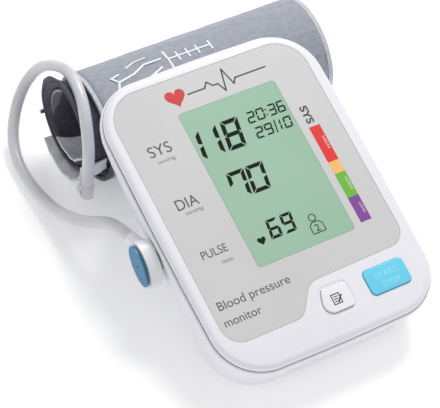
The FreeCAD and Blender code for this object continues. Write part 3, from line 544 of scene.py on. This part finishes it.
def turn_of_cloth(name, radius, thick, x0, x1, mat, nodes, centre=(0, 0), creases=0.35,
                  first=0, last=360, flare=None):
    """A turn of the rolled cuff: an arc of cloth round the roll, a little creased, with thickness."""
    bm = bmesh.new()
    along = 48
    closed = last - first >= 360
    steps = max(12, int((last - first) / 360 * 160))
    bmesh.ops.create_grid(bm, x_segments=along, y_segments=steps, size=0.5)
    uv = bm.loops.layers.uv.new("cloth")
    spot = {}
    for v in bm.verts:
        s, t = v.co.x + 0.5, v.co.y + 0.5
        spot[v] = (s, t)
        angle = math.radians(first + (last - first) * t)
        x = x0 + (x1 - x0) * s
        turn_at = Vector((x * 0.02, math.cos(angle) * 1.3, math.sin(angle) * 1.3))
        deep = abs(noise.noise(turn_at * 2.2 + Vector((0, 0, radius)))) * 2
        fine = 0.4 * noise.noise(turn_at * 7)
        r = radius - creases * deep - creases * fine
        cy, cz = centre
        if flare:
            grow = max(0.0, 1 - (x - x0) / flare[0]) ** 2
            cy += flare[1] * grow
            cz += flare[2] * grow
            r += flare[3] * grow
        v.co = (x, cy - math.sin(angle) * r, cz + math.cos(angle) * r)
    for face in bm.faces:
        for loop in face.loops:
            s, t = spot[loop.vert]
            loop[uv].uv = ((x1 - x0) * s / 100, radius * math.radians(last - first) * t / 100)
    if closed:
        bmesh.ops.remove_doubles(bm, verts=bm.verts, dist=0.0001)
    bmesh.ops.recalc_face_normals(bm, faces=bm.faces)
    bm.normal_update()
    outwards = 0.0
    for face in bm.faces:
        middle = face.calc_center_median()
        outwards += face.normal.y * (middle.y - centre[0]) + face.normal.z * (middle.z - centre[1])
    if outwards < 0:
        bmesh.ops.reverse_faces(bm, faces=bm.faces)
    bm.transform(ROLL)
    mesh = bpy.data.meshes.new(name)
    bm.to_mesh(mesh)
    bm.free()
    mesh.shade_smooth()
    made = settle(name, mesh, mat, "cuff")
    shell = made.modifiers.new("thickness", "SOLIDIFY")
    shell.thickness = thick * MM
    shell.offset = -1
    if nodes:
        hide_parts(*nodes)
    return made


LEFT, RIGHT = -50.5, 89.0
nylon = woven("coated_nylon_taffeta", "8e93a0", "a6aab4")
charcoal = woven("charcoal_nylon_lining", "3d3b47", "565462", sheen=0.15)
tape = woven("woven_edge_tape", "b4b7c0", "d4d6dc", pitch=0.7)
INNER = (0, 2.4)
MOUTH = (14, 2.0, 5.0, 2.0)
turn_of_cloth("cuff_outer_turn", 30.9, 2.2, LEFT + 2, RIGHT - 2, nylon, ["cuff_outer_cover"])
turn_of_cloth("cuff_inner_turn", 25.0, 1.6, LEFT - 12.5, RIGHT - 14, charcoal,
              ["cuff_inner_cover"], centre=INNER, flare=MOUTH)
turn_of_cloth("cuff_inside", 21.9, 0.9, LEFT - 11.5, RIGHT - 15, charcoal,
              ["cuff_lining"], centre=INNER, flare=MOUTH)
turn_of_cloth("cuff_left_edge", 31.0, 2.4, LEFT, LEFT + 2.2, tape,
              ["cuff_left_binding"], creases=0.1, first=-110, last=78)
# the lower part of the left binding is charcoal cloth as painted shade, where the pale tape lies in shadow
turn_of_cloth("cuff_left_edge_painted_shade", 30.9, 2.4, LEFT, LEFT + 2.2, charcoal,
              [], creases=0.1, first=76, last=252)
turn_of_cloth("cuff_right_edge", 31.0, 2.4, RIGHT - 2.6, RIGHT, tape,
              ["cuff_right_binding"], creases=0.1)
grey_fold = woven("folded_grey_nylon", "d9dbe3", "f0f1f6")
turn_of_cloth("cuff_mouth_fold", 20.2, 0.9, LEFT - 12.5, LEFT + 2, grey_fold,
              [], centre=INNER, creases=1.2, first=112, last=205, flare=MOUTH)
turn_of_cloth("cuff_end_fold", 27.4, 1.1, LEFT - 16.5, LEFT - 1.0, grey_fold,
              ["cuff_end_flap"], centre=INNER, creases=1.0, first=92, last=222)

# ---------------------------------------------------------------- print on the cuff
# White screen print on the grey cloth: an outline of an arm, an arrow and the marks of the fitting range.
cuff_ink = ink("screen_printed_cuff_white", "eceef4", 0.6)
PRINT_RADIUS = 31.12


def round_the_roll(bm, name):
    """Lays a flat print, drawn with x along the roll and y round it, on to the outer turn."""
    bmesh.ops.triangulate(bm, faces=bm.faces[:])
    bmesh.ops.subdivide_edges(bm, edges=[e for e in bm.edges if e.calc_length() > 1.5], cuts=1)
    for v in bm.verts:
        angle = v.co.y / 31.1
        v.co = (v.co.x, math.sin(angle) * PRINT_RADIUS, math.cos(angle) * PRINT_RADIUS)
    bm.transform(ROLL)
    mesh = bpy.data.meshes.new(name)
    bm.to_mesh(mesh)
    bm.free()
    return settle(name, mesh, cuff_ink, "cuff")


bm = bmesh.new()
stroke(bm, [(-36, -12), (-27, -9), (-24, -3), (-14, -1), (-6, 3), (4, 3)], 1.25, 0.5)
stroke(bm, [(-35, -17), (-24, -15), (-18, -9), (-8, -7), (2, -3)], 1.25, 0.5)
stroke(bm, [(-24, -3), (-27, 1), (-22, 2)], 1.15, 0.46)
stroke(bm, [(-8, -7), (-4, -12), (-12, -11)], 1.15, 0.46)
stroke(bm, [(8, -6), (8, 8)], 1.15, 0.46)
stroke(bm, [(8, 1), (34, 1)], 1.05, 0.42)
for x in (14, 20, 26, 34):
    stroke(bm, [(x, -2), (x, 4)], 1.05, 0.42)
stroke(bm, [(-16, 5), (-10, 7.5), (-3, 8)], 1.05, 0.42)
bmesh.ops.translate(bm, vec=(-9, -1, 0), verts=bm.verts)
round_the_roll(bm, "cuff_print")

# ---------------------------------------------------------------- inside pieces
# None of these show with the housing shut, but each gets the finish of the real thing.
HIDDEN = (
    ("lcd_holder", "cbcbcb", 0.5, 0), ("zebra_strips", "3f74a6", 0.6, 0), ("main_board", "0d5a31", 0.35, 0),
    ("board_chips", "161618", 0.45, 0), ("board_capacitors", "b9bac0", 0.3, 1), ("buzzer", "1a1a1c", 0.5, 0),
    ("key_switches", "a9aaad", 0.32, 1), ("pump_motor", "b3b4b8", 0.28, 1), ("pump_head", "232326", 0.5, 0),
    ("pump_shaft", "b8b9bd", 0.2, 1), ("pump_cradle", "2b2b2d", 0.8, 0), ("release_valve", "a0a1a5", 0.3, 1),
    ("valve_plunger", "b8b9bd", 0.2, 1), ("pressure_sensor", "1b1b1d", 0.45, 0),
    ("air_manifold", "8c8e94", 0.45, 0),
    ("inner_hoses", "d9d8d0", 0.4, 0), ("air_socket", "8c8e94", 0.4, 0), ("socket_ring", "1c1c1c", 0.6, 0),
    ("plug_ring", "1c1c1c", 0.6, 0), ("batteries", "2f7048", 0.3, 0), ("battery_springs", "c4c5c9", 0.22, 1),
    ("battery_contacts", "c4c5c9", 0.22, 1), ("rubber_feet", "4b4b50", 0.8, 0),
    ("housing_screws", "96979b", 0.3, 1),
    ("board_screws", "96979b", 0.3, 1), ("loop_patch", "8b8d94", 0.9, 0), ("hook_patch", "7d7f86", 0.8, 0),
    ("air_bladder", "8d8f94", 0.5, 0), ("cuff_bar", "b3b3b5", 0.25, 1))
for node, code, rough, metal in HIDDEN:
    made, tree, shader = start("finish_of_" + node, Base_Color=linear(code), Roughness=rough,
                               Metallic=float(metal))
    where = add(tree, "TexCoord")
    streak = add(tree, "TexNoise", {"Scale": 700.0 if metal else 400.0, "Detail": 4.0},
                 Vector=where.outputs["Object"])
    wear = add(tree, "MapRange", {"To Min": rough - 0.06, "To Max": rough + 0.08}, Value=streak.outputs["Fac"])
    tree.links.new(wear.outputs["Result"], shader.inputs["Roughness"])
    skin = add(tree, "Bump", {"Strength": 0.2, "Distance": 0.00003}, Height=streak.outputs["Fac"])
    tree.links.new(skin.outputs["Normal"], shader.inputs["Normal"])
    dress(node, made)
